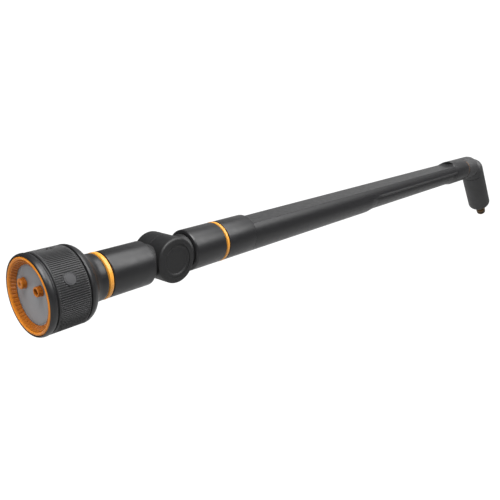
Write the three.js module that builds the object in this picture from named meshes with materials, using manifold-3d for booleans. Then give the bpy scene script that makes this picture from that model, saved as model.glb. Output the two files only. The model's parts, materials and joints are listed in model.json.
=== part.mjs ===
// Watering wand: a turret spray head on a tilting knuckle, a long handle tube with a flat top, and
// an angled grip that ends in a hose plug.
// Millimetres. +X runs along the tube from the spray face to the grip, +Z is up, -Y is the side that
// the knuckle's plain cap faces. Stations along the tube count from the spray face, and stations down
// the grip count from the point where the grip's axis meets the tube's axis. The finished group is
// shifted so that the origin is the centre of the hand grip.
import * as THREE from 'three';
import { mergeVertices } from 'three/addons/utils/BufferGeometryUtils.js';
import Module from 'manifold-3d';

const wasm = await Module();
wasm.setup();

// Driving dimensions -----------------------------------------------------------------------------

const GAP = 0.3; // between pieces that touch
const COARSE = 16; // facets round an inner piece
const FINE = 28; // facets round an outer piece
const TINY = 10; // facets round a nozzle, pin or pad

// Tubes and how they plug together
const TUBE_RADIUS = 21;
const TUBE_BORE = 14.5;
const SPIGOT_RADIUS = 17.2;
const SOCKET_RADIUS = SPIGOT_RADIUS + 0.4;
const ACCENT_BORE = SPIGOT_RADIUS + GAP;
const EDGE = 0.5; // small edge chamfer

// Spray head
const HEAD_RADIUS = 34.2;
const KNURL_RADIUS = 33.9;
const FACE_RADIUS = 32.3;
const LIP_RADIUS = 29; // inner edge of the face ring's flat lip
const PLATE_RADIUS = 28;
const PLATE_OPENING = 25.2;
const PLATE_FRONT = 5.3;
const PLATE_REAR = 7.4;
const RING_FRONT = 7.6;
const RING_REAR = 36;
const CARRIER_RADIUS = 30.3;
const CARRIER_FRONT = 8.3;
const CARRIER_FLOOR = 13;
const CARRIER_REAR = 35.3;
const HUB_RADIUS = 27;
const HUB_FRONT = 17;
const HOUSING_FRONT = 36.8;
const HOUSING_REAR = 62;
const NOZZLE_FRONT = 0.3;
const NOZZLE_CIRCLE = 13.9; // from the head's axis to each nozzle's axis
const JET_ANGLE = 27.5; // degrees above the horizontal on the near side
const MIST_ANGLE = JET_ANGLE + 120;
const NOZZLE_SHANK = 3.1;
const PAD_STATION = 20.7;
const PAD_ANGLE = 28.5; // degrees above the horizontal on the near side
const MARK_STATION = 23;
const MARK_ANGLE = 91;
const PAD_RADIUS = 5.2;
const MARK_RADIUS = 2.4;
const DISC_FLOOR = 0.9; // the pad's and the mark's pockets' depth in the knurl
const DETENT_RADIUS = 28.5; // from the head's axis to the detent pocket

// Knuckle
const PIVOT = 139;
const BARREL_RADIUS = 22;
const BARREL_HALF = 20;
const CAP_RADIUS = 16;
const CAP_OUTSIDE = BARREL_HALF - 0.5;
const CAP_INSIDE = BARREL_HALF - 2.2;
const HALF_GAP = 0.2; // each barrel half's rim stops this far from the middle plane
const WASHER_RADIUS = 18;
const WASHER_SEAT = 0.8; // the washer's pocket floor, from the middle plane
const NECK_RADIUS = 16.2;
const PLUG_RADIUS = TUBE_BORE - GAP;
const SPINDLE_RADIUS = 9;
const CHANNEL_SIDE = 7; // water channel's distance from the middle plane
const FRONT_TUBE_END = 112.8;
const REAR_TUBE_START = 164.3;

// Handle
const FLAT_HEIGHT = 14.3; // the flat top's height over the tube's axis
const SHELL_WALL = 2.3;
const COLLAR_FRONT = 211.9;
const COLLAR_REAR = 254;
const CUTOUT_FRONT = 522;
const REAR_COLLAR_FRONT = 830.3;
const REAR_COLLAR_END = 888.5;
const CUTOUT_TOP = 1.2; // height of the cut-out's edge over the tube's axis
const COVER_RADIUS = 19;
const COVER_WALL = 2.2;
const PIPE_RADIUS = 7.5;
const PIPE_BORE = 5.9;
const PIPE_SOCKET = 9.6;
const PIPE_FRONT = 168;
const PIPE_REAR = 884;
const SPACER_STATIONS = [330, 500, 700];

// Elbow and grip
const BEND = THREE.MathUtils.degToRad(48.8); // from the tube's axis down to the grip's axis
const BEND_STATION = 953.5;
const ELBOW_BALL = 930; // centre of the tube end's round end
const GRIP_BALL = 9.5; // centre of the grip's round top
const GRIP_START = 20;
const GRIP_END = 117;
const GRIP_CENTRE = 70;
const PLUG_END = 146;
const PLUG_OUTER = 8.75;
const PLUG_COLLAR = 10.2; // the plug's wider part where it leaves the grip
const PLUG_BORE = 5.5;
const ELBOW_BORE = 8.5;

// Materials --------------------------------------------------------------------------------------

const finish = (color, roughness, metalness = 0) =>
  new THREE.MeshStandardMaterial({ color, roughness, metalness });

const SHELL_BLACK = finish(0x2e2e31, 0.5);
const RIBBED_BLACK = finish(0x36363a, 0.75);
const INNER_BLACK = finish(0x232326, 0.6);
const ACCENT_ORANGE = finish(0xf0892a, 0.35);
const FACE_ORANGE = finish(0xcf6f20, 0.4);
const PLATE_GREY = finish(0x7d7f83, 0.45);
const PAD_GREY = finish(0x4a4a4e, 0.5);
const SEAL_RUBBER = finish(0x161616, 0.85);
const CARRIER_WHITE = finish(0xc9c8c2, 0.5);
const STEEL = finish(0xb4b6b8, 0.3, 1);
const BRASS = finish(0x6d5430, 0.35, 1);
const PIPE_ALUMINIUM = finish(0xa9abad, 0.4, 1);

// Geometry helpers -------------------------------------------------------------------------------

const X = new THREE.Vector3(1, 0, 0);
const Y = new THREE.Vector3(0, 1, 0);
const Z = new THREE.Vector3(0, 0, 1);
const AXIS_Y_TO_X = new THREE.Matrix4().makeBasis(Z, X, Y);
const AXIS_Z_TO_X = new THREE.Matrix4().makeBasis(Y, Z, X);

// A closed outline of [station, radius] points, turned round +X.
function turned(outline, facets) {
  const points = outline.map(([station, radius]) => new THREE.Vector2(radius, station));
  const onAxis = outline[0][1] === 0 && outline.at(-1)[1] === 0;
  if (!onAxis) points.push(points[0].clone());
  return new THREE.LatheGeometry(points, facets).applyMatrix4(AXIS_Y_TO_X);
}

// The same round +Y, for pieces of the knuckle.
function turnedAboutY(outline, facets) {
  return turned(outline, facets).rotateZ(Math.PI / 2);
}

// A plain ring with square corners.
function ring(front, rear, inner, outer, facets) {
  return turned([[front, inner], [front, outer], [rear, outer], [rear, inner]], facets);
}

// A solid rod along +X, used as a piece and as a cutter.
function rod(front, rear, radius, facets, y = 0, z = 0) {
  const outline = [[front, 0], [front, radius], [rear, radius], [rear, 0]];
  return turned(outline, facets).translate(0, y, z);
}

// A flat outline in the YZ plane, swept along +X.
function swept(shape, front, rear, curveSegments = 16) {
  const options = { depth: rear - front, bevelEnabled: false, curveSegments };
  const geometry = new THREE.ExtrudeGeometry(shape, options);
  return geometry.applyMatrix4(AXIS_Z_TO_X).translate(front, 0, 0);
}

// Points of a quarter round from the rim of a ball to its pole on the axis.
function ballEnd(centre, radius, towards, steps) {
  return Array.from({ length: steps }, (_, i) => {
    const angle = ((i + 1) / steps) * (Math.PI / 2);
    const onPole = i === steps - 1;
    return [centre + towards * radius * Math.sin(angle), onPole ? 0 : radius * Math.cos(angle)];
  });
}

function toSolid(geometry) {
  const bare = geometry.clone();
  bare.deleteAttribute('normal');
  bare.deleteAttribute('uv');
  const merged = mergeVertices(bare, 1e-4);
  const corners = merged.index.array;
  const kept = [];
  for (let i = 0; i < corners.length; i += 3) {
    const [a, b, c] = [corners[i], corners[i + 1], corners[i + 2]];
    if (a !== b && b !== c && c !== a) kept.push(a, b, c);
  }
  return new wasm.Manifold(new wasm.Mesh({
    numProp: 3,
    vertProperties: new Float32Array(merged.attributes.position.array),
    triVerts: new Uint32Array(kept),
  }));
}

function toGeometry(solid) {
  const mesh = solid.getMesh();
  const geometry = new THREE.BufferGeometry();
  geometry.setAttribute('position', new THREE.BufferAttribute(new Float32Array(mesh.vertProperties), 3));
  geometry.setIndex(new THREE.BufferAttribute(new Uint32Array(mesh.triVerts), 1));
  geometry.computeVertexNormals();
  return geometry;
}

const joined = (geometries) => geometries.map(toSolid).reduce((whole, next) => whole.add(next));
const cut = (solid, cutters) => cutters.map(toSolid).reduce((rest, next) => rest.subtract(next), solid);
const cutGeometry = (geometry, cutters) => toGeometry(cut(toSolid(geometry), cutters));

function add(group, name, geometry, material) {
  const mesh = new THREE.Mesh(geometry, material);
  mesh.name = name;
  group.add(mesh);
  return mesh;
}

// Spray turret -----------------------------------------------------------------------------------

// A point of the nozzle circle, as [y, z], at an angle above the near side's horizontal.
function onNozzleCircle(degrees) {
  const angle = THREE.MathUtils.degToRad(degrees);
  return [-NOZZLE_CIRCLE * Math.cos(angle), NOZZLE_CIRCLE * Math.sin(angle)];
}

const NOZZLES = { jet: onNozzleCircle(JET_ANGLE), mist: onNozzleCircle(MIST_ANGLE) };

// A round plate across the axis with a hole behind each nozzle, and one in the middle if asked.
function portedPlate(front, rear, radius, centreHole) {
  const shape = new THREE.Shape();
  shape.absarc(0, 0, radius, 0, 2 * Math.PI);
  for (const [y, z] of Object.values(NOZZLES)) {
    shape.holes.push(new THREE.Path().absarc(y, z, NOZZLE_SHANK + GAP, 0, 2 * Math.PI));
  }
  if (centreHole) shape.holes.push(new THREE.Path().absarc(0, 0, centreHole, 0, 2 * Math.PI));
  return swept(shape, front, rear, 14);
}

function bezelRing() {
  const bore = FACE_RADIUS + GAP;
  const flange = HEAD_RADIUS - 1.1;
  return turned([
    [GAP, bore], [GAP, HEAD_RADIUS - 1.2], [1.2, HEAD_RADIUS - 0.5], [3.5, HEAD_RADIUS - 0.1],
    [6.4, HEAD_RADIUS], [6.4, flange], [RING_FRONT - GAP, flange], [RING_FRONT - GAP, bore],
  ], FINE);
}

function faceRing() {
  const seat = PLATE_FRONT - GAP;
  const counterbore = PLATE_RADIUS + GAP;
  const rear = RING_FRONT - GAP;
  return turned([
    [0, LIP_RADIUS], [0, FACE_RADIUS], [rear, FACE_RADIUS], [rear, counterbore],
    [seat, counterbore], [seat, PLATE_OPENING], [0.5, LIP_RADIUS - 0.4],
  ], FINE);
}

function jetNozzle() {
  const bore = 1.8;
  const shoulder = PLATE_FRONT - GAP;
  const [y, z] = NOZZLES.jet;
  return turned([
    [NOZZLE_FRONT, bore], [NOZZLE_FRONT, 4], [shoulder, 4], [shoulder, NOZZLE_SHANK],
    [CARRIER_FLOOR - GAP, NOZZLE_SHANK], [CARRIER_FLOOR - GAP, bore],
  ], TINY).translate(0, y, z);
}

function mistNozzle() {
  const bore = 1.6;
  const shoulder = PLATE_FRONT - GAP;
  const [y, z] = NOZZLES.mist;
  return turned([
    [1.1, 0], [NOZZLE_FRONT, bore], [NOZZLE_FRONT, 4.3], [shoulder, 4.3], [shoulder, NOZZLE_SHANK],
    [CARRIER_FLOOR - GAP, NOZZLE_SHANK], [CARRIER_FLOOR - GAP, bore], [4.5, bore], [4.5, 0],
  ], TINY).translate(0, y, z);
}

// A disc that faces outwards from the grip ring at an angle above the near side's horizontal.
function ringDisc(station, degrees, radius, low, high, facets) {
  const angle = THREE.MathUtils.degToRad(degrees);
  return rod(low, high, radius, facets)
    .rotateZ(-Math.PI / 2)
    .rotateX(-angle)
    .translate(station, 0, 0);
}

function gripRing() {
  const bore = CARRIER_RADIUS + GAP;
  const blank = turned([
    [RING_FRONT, bore], [RING_FRONT, KNURL_RADIUS - EDGE], [RING_FRONT + EDGE, KNURL_RADIUS],
    [RING_REAR - EDGE, KNURL_RADIUS], [RING_REAR, KNURL_RADIUS - EDGE], [RING_REAR, bore],
  ], FINE);
  const pocketFloor = KNURL_RADIUS - DISC_FLOOR;
  return cutGeometry(blank, [
    ringDisc(PAD_STATION, PAD_ANGLE, PAD_RADIUS + GAP, pocketFloor, HEAD_RADIUS + 1, 20),
    ringDisc(MARK_STATION, MARK_ANGLE, MARK_RADIUS + GAP, pocketFloor, HEAD_RADIUS + 1, TINY),
  ]);
}

function turretBody() {
  const screwHole = 2.4;
  const counterbore = 5.4;
  const bearing = HUB_RADIUS + 0.7;
  const blank = turned([
    [CARRIER_FRONT, counterbore], [CARRIER_FRONT, CARRIER_RADIUS], [CARRIER_REAR, CARRIER_RADIUS],
    [CARRIER_REAR, bearing], [CARRIER_FLOOR, bearing], [CARRIER_FLOOR, screwHole],
    [10.6, screwHole], [10.6, counterbore],
  ], COARSE + 4);
  const bore = ([y, z]) => rod(CARRIER_FRONT - 1, CARRIER_FLOOR + 1, NOZZLE_SHANK + GAP, TINY, y, z);
  return cutGeometry(blank, Object.values(NOZZLES).map(bore));
}

// The valve disc that carries each nozzle's port over the seal.
function selectorDisc() {
  return portedPlate(CARRIER_FLOOR + GAP, CARRIER_FLOOR + 2.8, HUB_RADIUS + 0.1, 2.4);
}

function turretScrew() {
  const shank = 1.9;
  const head = 4.6;
  return turned([
    [8.6, 0], [8.6, head - EDGE], [9.2, head], [10.3, head], [10.3, shank],
    [26.8, shank], [27.6, 1.1], [27.6, 0],
  ], TINY);
}

function buildTurret() {
  const group = new THREE.Group();
  const padLow = KNURL_RADIUS - DISC_FLOOR + GAP;
  const padHigh = HEAD_RADIUS + 0.1;
  add(group, 'bezel_ring', bezelRing(), SHELL_BLACK);
  add(group, 'face_ring', faceRing(), FACE_ORANGE);
  add(group, 'spray_plate', portedPlate(PLATE_FRONT, PLATE_REAR, PLATE_RADIUS, 0), PLATE_GREY);
  add(group, 'jet_nozzle', jetNozzle(), FACE_ORANGE);
  add(group, 'mist_nozzle', mistNozzle(), FACE_ORANGE);
  add(group, 'grip_ring', gripRing(), RIBBED_BLACK);
  const pad = ringDisc(PAD_STATION, PAD_ANGLE, PAD_RADIUS, padLow, padHigh, 20);
  const mark = ringDisc(MARK_STATION, MARK_ANGLE, MARK_RADIUS, padLow, padHigh, TINY);
  add(group, 'badge_pad', pad, PAD_GREY);
  add(group, 'index_mark', mark, INNER_BLACK);
  add(group, 'turret_body', turretBody(), CARRIER_WHITE);
  add(group, 'selector_disc', selectorDisc(), CARRIER_WHITE);
  add(group, 'turret_screw', turretScrew(), STEEL);
  return group;
}

// Head arm ---------------------------------------------------------------------------------------

const SEAL_FRONT = 16.1;
const SEAL_REAR = 18.4;

function headHousing() {
  const screwHole = 2.2;
  const chamber = 24;
  const wallRear = HUB_FRONT + 3;
  const blank = turned([
    [HUB_FRONT, screwHole], [HUB_FRONT, HUB_RADIUS], [HOUSING_FRONT, HUB_RADIUS],
    [HOUSING_FRONT, HEAD_RADIUS - 0.2], [39.8, 33.7], [43, 32], [45.4, 29.2], [47.7, 26.2],
    [50.4, 23.2], [54.5, 21.5], [HOUSING_REAR, TUBE_RADIUS], [HOUSING_REAR, SOCKET_RADIUS],
    [54, SOCKET_RADIUS], [46, chamber], [wallRear, chamber], [wallRear, 5], [28, 5],
    [28, screwHole],
  ], FINE);
  const [y, z] = NOZZLES.jet;
  return cutGeometry(blank, [
    rod(HUB_FRONT - 1, SEAL_REAR + GAP, 5.3, TINY, y, z),
    rod(HUB_FRONT - 1, wallRear + 1, 2.8, TINY, y, z),
    rod(HOUSING_FRONT - 1, 43.5, 2.3, TINY, 0, -DETENT_RADIUS),
  ]);
}

function detentSpring() {
  const turns = 4;
  const front = 39.8;
  const rear = 43.2;
  const coilRadius = 1.45;
  class Helix extends THREE.Curve {
    getPoint(t, target = new THREE.Vector3()) {
      const angle = 2 * Math.PI * turns * t;
      const [y, z] = [coilRadius * Math.cos(angle), coilRadius * Math.sin(angle)];
      return target.set(front + (rear - front) * t, y, z);
    }
  }
  const wire = new THREE.Shape().absarc(0, 0, 0.28, 0, 2 * Math.PI);
  const options = { extrudePath: new Helix(), steps: turns * 8, curveSegments: 3, bevelEnabled: false };
  return new THREE.ExtrudeGeometry(wire, options).translate(0, 0, -DETENT_RADIUS);
}

// An orange ring that sits on a spigot between two tubes.
function accentRing(front, rear, outer) {
  return turned([
    [front, ACCENT_BORE], [front, outer - EDGE], [front + EDGE, outer],
    [rear - EDGE, outer], [rear, outer - EDGE], [rear, ACCENT_BORE],
  ], FINE);
}

const GROOVE_FRONT = 58.2;
const GROOVE_REAR = 60.8;

function frontTube() {
  const spigotFront = HOUSING_REAR - 6;
  const shoulder = 67.9;
  const grooveFloor = SPIGOT_RADIUS - 1.5;
  return turned([
    [spigotFront, TUBE_BORE], [spigotFront, SPIGOT_RADIUS], [GROOVE_FRONT, SPIGOT_RADIUS],
    [GROOVE_FRONT, grooveFloor], [GROOVE_REAR, grooveFloor], [GROOVE_REAR, SPIGOT_RADIUS],
    [shoulder, SPIGOT_RADIUS], [shoulder, TUBE_RADIUS], [FRONT_TUBE_END - 1.2, TUBE_RADIUS],
    [FRONT_TUBE_END - 0.3, TUBE_RADIUS - 0.4], [FRONT_TUBE_END, TUBE_RADIUS - 1.2],
    [FRONT_TUBE_END, TUBE_BORE],
  ], FINE);
}

// One half of the knuckle, seen from its own pivot: its barrel lies on the near side of the middle
// plane and its neck points along +X. The neck stays clear of the other half's barrel, and its cone
// lets the two necks stand at a right angle.
function knuckleHalf(neckEnd, plugEnd, socketDepth) {
  const neck = turned([
    [12, 0], [12, 11.4], [17.4, NECK_RADIUS], [neckEnd, NECK_RADIUS],
    [neckEnd, PLUG_RADIUS], [plugEnd, PLUG_RADIUS], [plugEnd, 0],
  ], COARSE + 4);
  const otherBarrel = turnedAboutY([
    [-HALF_GAP, 0], [-HALF_GAP, BARREL_RADIUS + 0.5], [30, BARREL_RADIUS + 0.5], [30, 0],
  ], FINE);
  const rim = BARREL_HALF;
  const pocket = CAP_RADIUS + GAP;
  const barrel = turnedAboutY([
    [-rim, 0], [-rim, BARREL_RADIUS - 2], [-rim + 0.6, BARREL_RADIUS - 0.6],
    [-rim + 2, BARREL_RADIUS], [-HALF_GAP, BARREL_RADIUS], [-HALF_GAP, 0],
  ], FINE);
  const whole = cut(toSolid(neck), [otherBarrel]).add(toSolid(barrel));
  const cutters = [
    turnedAboutY([[-rim - 1, 0], [-rim - 1, pocket], [-14.1, pocket], [-14.1, 0]], FINE),
    turnedAboutY([[-20, 0], [-20, SPINDLE_RADIUS + GAP], [1, SPINDLE_RADIUS + GAP], [1, 0]], COARSE),
    turnedAboutY([
      [-WASHER_SEAT, 0], [-WASHER_SEAT, WASHER_RADIUS + 0.5], [1, WASHER_RADIUS + 0.5], [1, 0],
    ], FINE),
    rod(0, plugEnd + 1, PLUG_BORE, TINY, -CHANNEL_SIDE, 0),
  ];
  if (socketDepth) cutters.push(rod(plugEnd - socketDepth, plugEnd + 1, PIPE_SOCKET, COARSE));
  return toGeometry(cut(whole, cutters));
}

// A plain disc that closes the barrel's end pocket, for the near side.
function knuckleCap() {
  return turnedAboutY([
    [-CAP_OUTSIDE, 0], [-CAP_OUTSIDE, CAP_RADIUS - 0.6], [-CAP_OUTSIDE + EDGE, CAP_RADIUS],
    [-CAP_INSIDE, CAP_RADIUS], [-CAP_INSIDE, 0],
  ], COARSE + 8);
}

function buildHeadArm() {
  const group = new THREE.Group();
  const [y, z] = NOZZLES.jet;
  add(group, 'head_housing', headHousing(), SHELL_BLACK);
  add(group, 'selector_seal', ring(SEAL_FRONT, SEAL_REAR, 3, 5, TINY).translate(0, y, z), SEAL_RUBBER);
  const ball = new THREE.SphereGeometry(1.9, 10, 6).translate(37.5, 0, -DETENT_RADIUS);
  add(group, 'detent_ball', ball, STEEL);
  add(group, 'detent_spring', detentSpring(), STEEL);
  add(group, 'front_accent_ring', accentRing(HOUSING_REAR + GAP, 67.3, TUBE_RADIUS + 0.2), ACCENT_ORANGE);
  add(group, 'neck_seal', ring(GROOVE_FRONT + 0.4, GROOVE_REAR - 0.4, 16, 17.3, COARSE), SEAL_RUBBER);
  add(group, 'front_tube', frontTube(), SHELL_BLACK);
  const neckEnd = PIVOT - FRONT_TUBE_END - GAP;
  const knuckle = add(group, 'front_knuckle', knuckleHalf(neckEnd, neckEnd + 14, 0), SHELL_BLACK);
  const cap = add(group, 'far_knuckle_cap', knuckleCap(), SHELL_BLACK);
  for (const farPiece of [knuckle, cap]) {
    farPiece.rotation.z = Math.PI;
    farPiece.position.x = PIVOT;
  }
  return group;
}

// Pivot and rear half of the knuckle -------------------------------------------------------------

function pivotSpindle() {
  const flange = 13;
  const groove = SPINDLE_RADIUS - 1.3;
  const end = 16.2;
  const blank = turnedAboutY([
    [-16.5, 0], [-16.5, flange], [-14.4, flange], [-14.4, SPINDLE_RADIUS],
    [-13.6, SPINDLE_RADIUS], [-13.6, groove], [-11.4, groove], [-11.4, SPINDLE_RADIUS],
    [11.4, SPINDLE_RADIUS], [11.4, groove], [13.6, groove], [13.6, SPINDLE_RADIUS],
    [end, SPINDLE_RADIUS], [end, 0],
  ], COARSE);
  const hollow = turnedAboutY([[-13, 0], [-13, 6], [13, 6], [13, 0]], TINY);
  const ports = [-CHANNEL_SIDE, CHANNEL_SIDE].map((y) => rod(-15, 15, 3.6, TINY, y, 0));
  return cutGeometry(blank, [hollow, ...ports]);
}

function spindleNut() {
  const hexagon = turnedAboutY([[14.4, 0], [14.4, 13], [16.4, 13], [16.4, 0]], 6);
  const bore = SPINDLE_RADIUS + GAP;
  const hole = turnedAboutY([[13, 0], [13, bore], [18, bore], [18, 0]], COARSE);
  return cutGeometry(hexagon, [hole]);
}

function ringAboutY(low, high, inner, outer) {
  return turnedAboutY([[low, inner], [low, outer], [high, outer], [high, inner]], COARSE);
}

function buildPivot() {
  const group = new THREE.Group();
  group.position.x = PIVOT;
  const neckEnd = REAR_TUBE_START - PIVOT - GAP;
  add(group, 'rear_knuckle', knuckleHalf(neckEnd, 43, 16), SHELL_BLACK);
  add(group, 'near_knuckle_cap', knuckleCap(), SHELL_BLACK);
  add(group, 'pivot_spindle', pivotSpindle(), CARRIER_WHITE);
  add(group, 'spindle_nut', spindleNut(), STEEL);
  add(group, 'friction_washer', ringAboutY(-0.5, 0.5, 9.4, WASHER_RADIUS), SEAL_RUBBER);
  add(group, 'near_pivot_seal', ringAboutY(-13.3, -11.7, 8, SPINDLE_RADIUS), SEAL_RUBBER);
  add(group, 'far_pivot_seal', ringAboutY(11.7, 13.3, 8, SPINDLE_RADIUS), SEAL_RUBBER);
  return group;
}

// Handle -----------------------------------------------------------------------------------------

// A circle with its top cut off flat.
function flatToppedShape(radius, flat) {
  const start = Math.asin(flat / radius);
  const shape = new THREE.Shape();
  shape.absarc(0, 0, radius, Math.PI - start, 2 * Math.PI + start);
  shape.closePath();
  return shape;
}

function rearTube() {
  const shoulder = COLLAR_FRONT - 5.1;
  const spigotEnd = 226;
  return turned([
    [REAR_TUBE_START, TUBE_BORE], [REAR_TUBE_START, 18.6], [165, 20.2], [166.5, TUBE_RADIUS],
    [shoulder, TUBE_RADIUS], [shoulder, SPIGOT_RADIUS], [spigotEnd, SPIGOT_RADIUS],
    [spigotEnd, TUBE_BORE],
  ], FINE);
}

function frontCollar() {
  return turned([
    [COLLAR_FRONT, SOCKET_RADIUS], [COLLAR_FRONT, TUBE_RADIUS - 0.6],
    [COLLAR_FRONT + 0.7, TUBE_RADIUS], [COLLAR_REAR, TUBE_RADIUS], [COLLAR_REAR, SOCKET_RADIUS],
  ], FINE);
}

function rearCollar() {
  return turned([
    [REAR_COLLAR_FRONT, SOCKET_RADIUS], [REAR_COLLAR_FRONT, TUBE_RADIUS - 0.6],
    [REAR_COLLAR_FRONT + 0.7, TUBE_RADIUS], [REAR_COLLAR_END - EDGE, TUBE_RADIUS],
    [REAR_COLLAR_END, TUBE_RADIUS - EDGE], [REAR_COLLAR_END, SOCKET_RADIUS],
  ], FINE);
}

// The long flat-topped tube, with a round spigot at each end and its underside cut away behind.
function mainShell() {
  const front = COLLAR_REAR + GAP;
  const rear = REAR_COLLAR_FRONT - GAP;
  const frontEnd = COLLAR_REAR - 26;
  const rearEnd = REAR_COLLAR_FRONT + 20;
  const insideFlat = FLAT_HEIGHT - SHELL_WALL;
  const tube = swept(flatToppedShape(TUBE_RADIUS, FLAT_HEIGHT), front, rear);
  const length = rear + 1 - CUTOUT_FRONT;
  const depth = TUBE_RADIUS + 1 + CUTOUT_TOP;
  const cutout = new THREE.BoxGeometry(length, 2 * TUBE_RADIUS + 2, depth)
    .translate(CUTOUT_FRONT + length / 2, 0, CUTOUT_TOP - depth / 2);
  const frontSpigot = toSolid(rod(frontEnd, front, SPIGOT_RADIUS, FINE));
  const rearSpigot = toSolid(rod(rear, rearEnd, SPIGOT_RADIUS, FINE));
  const whole = cut(toSolid(tube), [cutout]).add(frontSpigot).add(rearSpigot);
  const narrow = swept(flatToppedShape(TUBE_BORE, insideFlat), frontEnd - 1, rearEnd + 1, 10);
  const wide = swept(flatToppedShape(TUBE_RADIUS - SHELL_WALL, insideFlat), front + 3, rear - 3);
  return toGeometry(cut(whole, [narrow, wide]));
}

// The inset trough that closes the cut-out.
function lowerCover() {
  const top = CUTOUT_TOP - GAP;
  const inner = COVER_RADIUS - COVER_WALL;
  const outerAngle = Math.asin(top / COVER_RADIUS);
  const innerAngle = Math.asin(top / inner);
  const shape = new THREE.Shape();
  shape.absarc(0, 0, COVER_RADIUS, Math.PI - outerAngle, 2 * Math.PI + outerAngle);
  shape.absarc(0, 0, inner, 2 * Math.PI + innerAngle, Math.PI - innerAngle, true);
  shape.closePath();
  return swept(shape, CUTOUT_FRONT + GAP, REAR_COLLAR_FRONT - GAP);
}

// A thin web that holds the water pipe in the middle of the shell.
function tubeSpacer(station) {
  const overCutout = station > CUTOUT_FRONT;
  const reach = (overCutout ? COVER_RADIUS - COVER_WALL : TUBE_RADIUS - SHELL_WALL) - GAP;
  const shape = flatToppedShape(reach, FLAT_HEIGHT - SHELL_WALL - GAP);
  shape.holes.push(new THREE.Path().absarc(0, 0, PIPE_RADIUS + GAP, 0, 2 * Math.PI));
  return swept(shape, station, station + 6, 8);
}

function pipeSeal(front) {
  return ring(front, front + 2.4, PIPE_RADIUS + GAP, PIPE_SOCKET - GAP, COARSE);
}

function buildHandle() {
  const group = new THREE.Group();
  add(group, 'rear_tube', rearTube(), SHELL_BLACK);
  const midRing = accentRing(COLLAR_FRONT - 4.8, COLLAR_FRONT - 0.5, TUBE_RADIUS + 0.2);
  const rearRing = accentRing(REAR_COLLAR_END + 0.4, REAR_COLLAR_END + 2.6, TUBE_RADIUS - 0.4);
  add(group, 'mid_accent_ring', midRing, ACCENT_ORANGE);
  add(group, 'front_collar', frontCollar(), SHELL_BLACK);
  add(group, 'main_shell', mainShell(), SHELL_BLACK);
  add(group, 'lower_cover', lowerCover(), SHELL_BLACK);
  add(group, 'water_tube', ring(PIPE_FRONT, PIPE_REAR, PIPE_BORE, PIPE_RADIUS, 16), PIPE_ALUMINIUM);
  add(group, 'water_tube_front_seal', pipeSeal(PIPE_FRONT + 6), SEAL_RUBBER);
  add(group, 'water_tube_rear_seal', pipeSeal(PIPE_REAR - 8), SEAL_RUBBER);
  SPACER_STATIONS.forEach((station, i) => {
    add(group, `tube_spacer_${i + 1}`, tubeSpacer(station), INNER_BLACK);
  });
  add(group, 'rear_collar', rearCollar(), SHELL_BLACK);
  add(group, 'rear_accent_ring', rearRing, ACCENT_ORANGE);
  return group;
}

// Elbow and grip ---------------------------------------------------------------------------------

// Moves a geometry from the grip's own axis to its place on the wand.
function onGripAxis(geometry) {
  return geometry.rotateY(BEND).translate(BEND_STATION, 0, 0);
}

// Two round-ended tubes that overlap at their round ends, bored through for the water.
function elbow() {
  const spigotFront = REAR_COLLAR_END - 20.5;
  const shoulder = REAR_COLLAR_END + 3;
  const facets = COARSE + 4;
  const level = turned([
    [spigotFront, 0], [spigotFront, SPIGOT_RADIUS], [shoulder, SPIGOT_RADIUS],
    [shoulder, TUBE_RADIUS - EDGE], [shoulder + EDGE, TUBE_RADIUS], [ELBOW_BALL, TUBE_RADIUS],
    ...ballEnd(ELBOW_BALL, TUBE_RADIUS, 1, 5),
  ], facets);
  const gripSpigot = GRIP_START + 22;
  const angled = onGripAxis(turned([
    ...ballEnd(GRIP_BALL, TUBE_RADIUS, -1, 5).reverse(), [GRIP_BALL, TUBE_RADIUS],
    [GRIP_START, TUBE_RADIUS], [GRIP_START, SPIGOT_RADIUS], [gripSpigot, SPIGOT_RADIUS], [gripSpigot, 0],
  ], facets));
  const pipeSocketEnd = PIPE_REAR + 4;
  const levelBore = turned([
    [spigotFront - 1, 0], [spigotFront - 1, PIPE_SOCKET], [pipeSocketEnd, PIPE_SOCKET],
    [pipeSocketEnd, ELBOW_BORE], [ELBOW_BALL, ELBOW_BORE], ...ballEnd(ELBOW_BALL, ELBOW_BORE, 1, 3),
  ], COARSE);
  const angledBore = onGripAxis(turned([
    ...ballEnd(GRIP_BALL, ELBOW_BORE, -1, 3).reverse(), [GRIP_BALL, ELBOW_BORE],
    [gripSpigot - 14, ELBOW_BORE], [gripSpigot - 14, PIPE_SOCKET], [gripSpigot + 1, PIPE_SOCKET],
    [gripSpigot + 1, 0],
  ], COARSE));
  const gripBall = new THREE.Vector3(GRIP_BALL, 0, 0).applyAxisAngle(Y, BEND);
  const span = new THREE.Vector3(BEND_STATION - ELBOW_BALL, 0, 0).add(gripBall);
  const linkAngle = Math.atan2(-span.z, span.x);
  const link = rod(0, span.length(), ELBOW_BORE - 0.5, TINY).rotateY(linkAngle).translate(ELBOW_BALL, 0, 0);
  return toGeometry(cut(joined([level, angled]), [levelBore, angledBore, link]));
}

function gripSleeve() {
  const floor = GRIP_END - 7;
  const hole = PLUG_COLLAR + 0.35;
  return turned([
    [GRIP_START + GAP, SOCKET_RADIUS], [GRIP_START + GAP, TUBE_RADIUS - 0.7],
    [GRIP_START + 1, TUBE_RADIUS], [GRIP_END - 5.5, TUBE_RADIUS], [GRIP_END - 2.5, TUBE_RADIUS - 0.9],
    [GRIP_END - 0.7, TUBE_RADIUS - 2.8], [GRIP_END, TUBE_RADIUS - 5.5], [GRIP_END, hole],
    [floor, hole], [floor, SOCKET_RADIUS],
  ], FINE);
}

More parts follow.
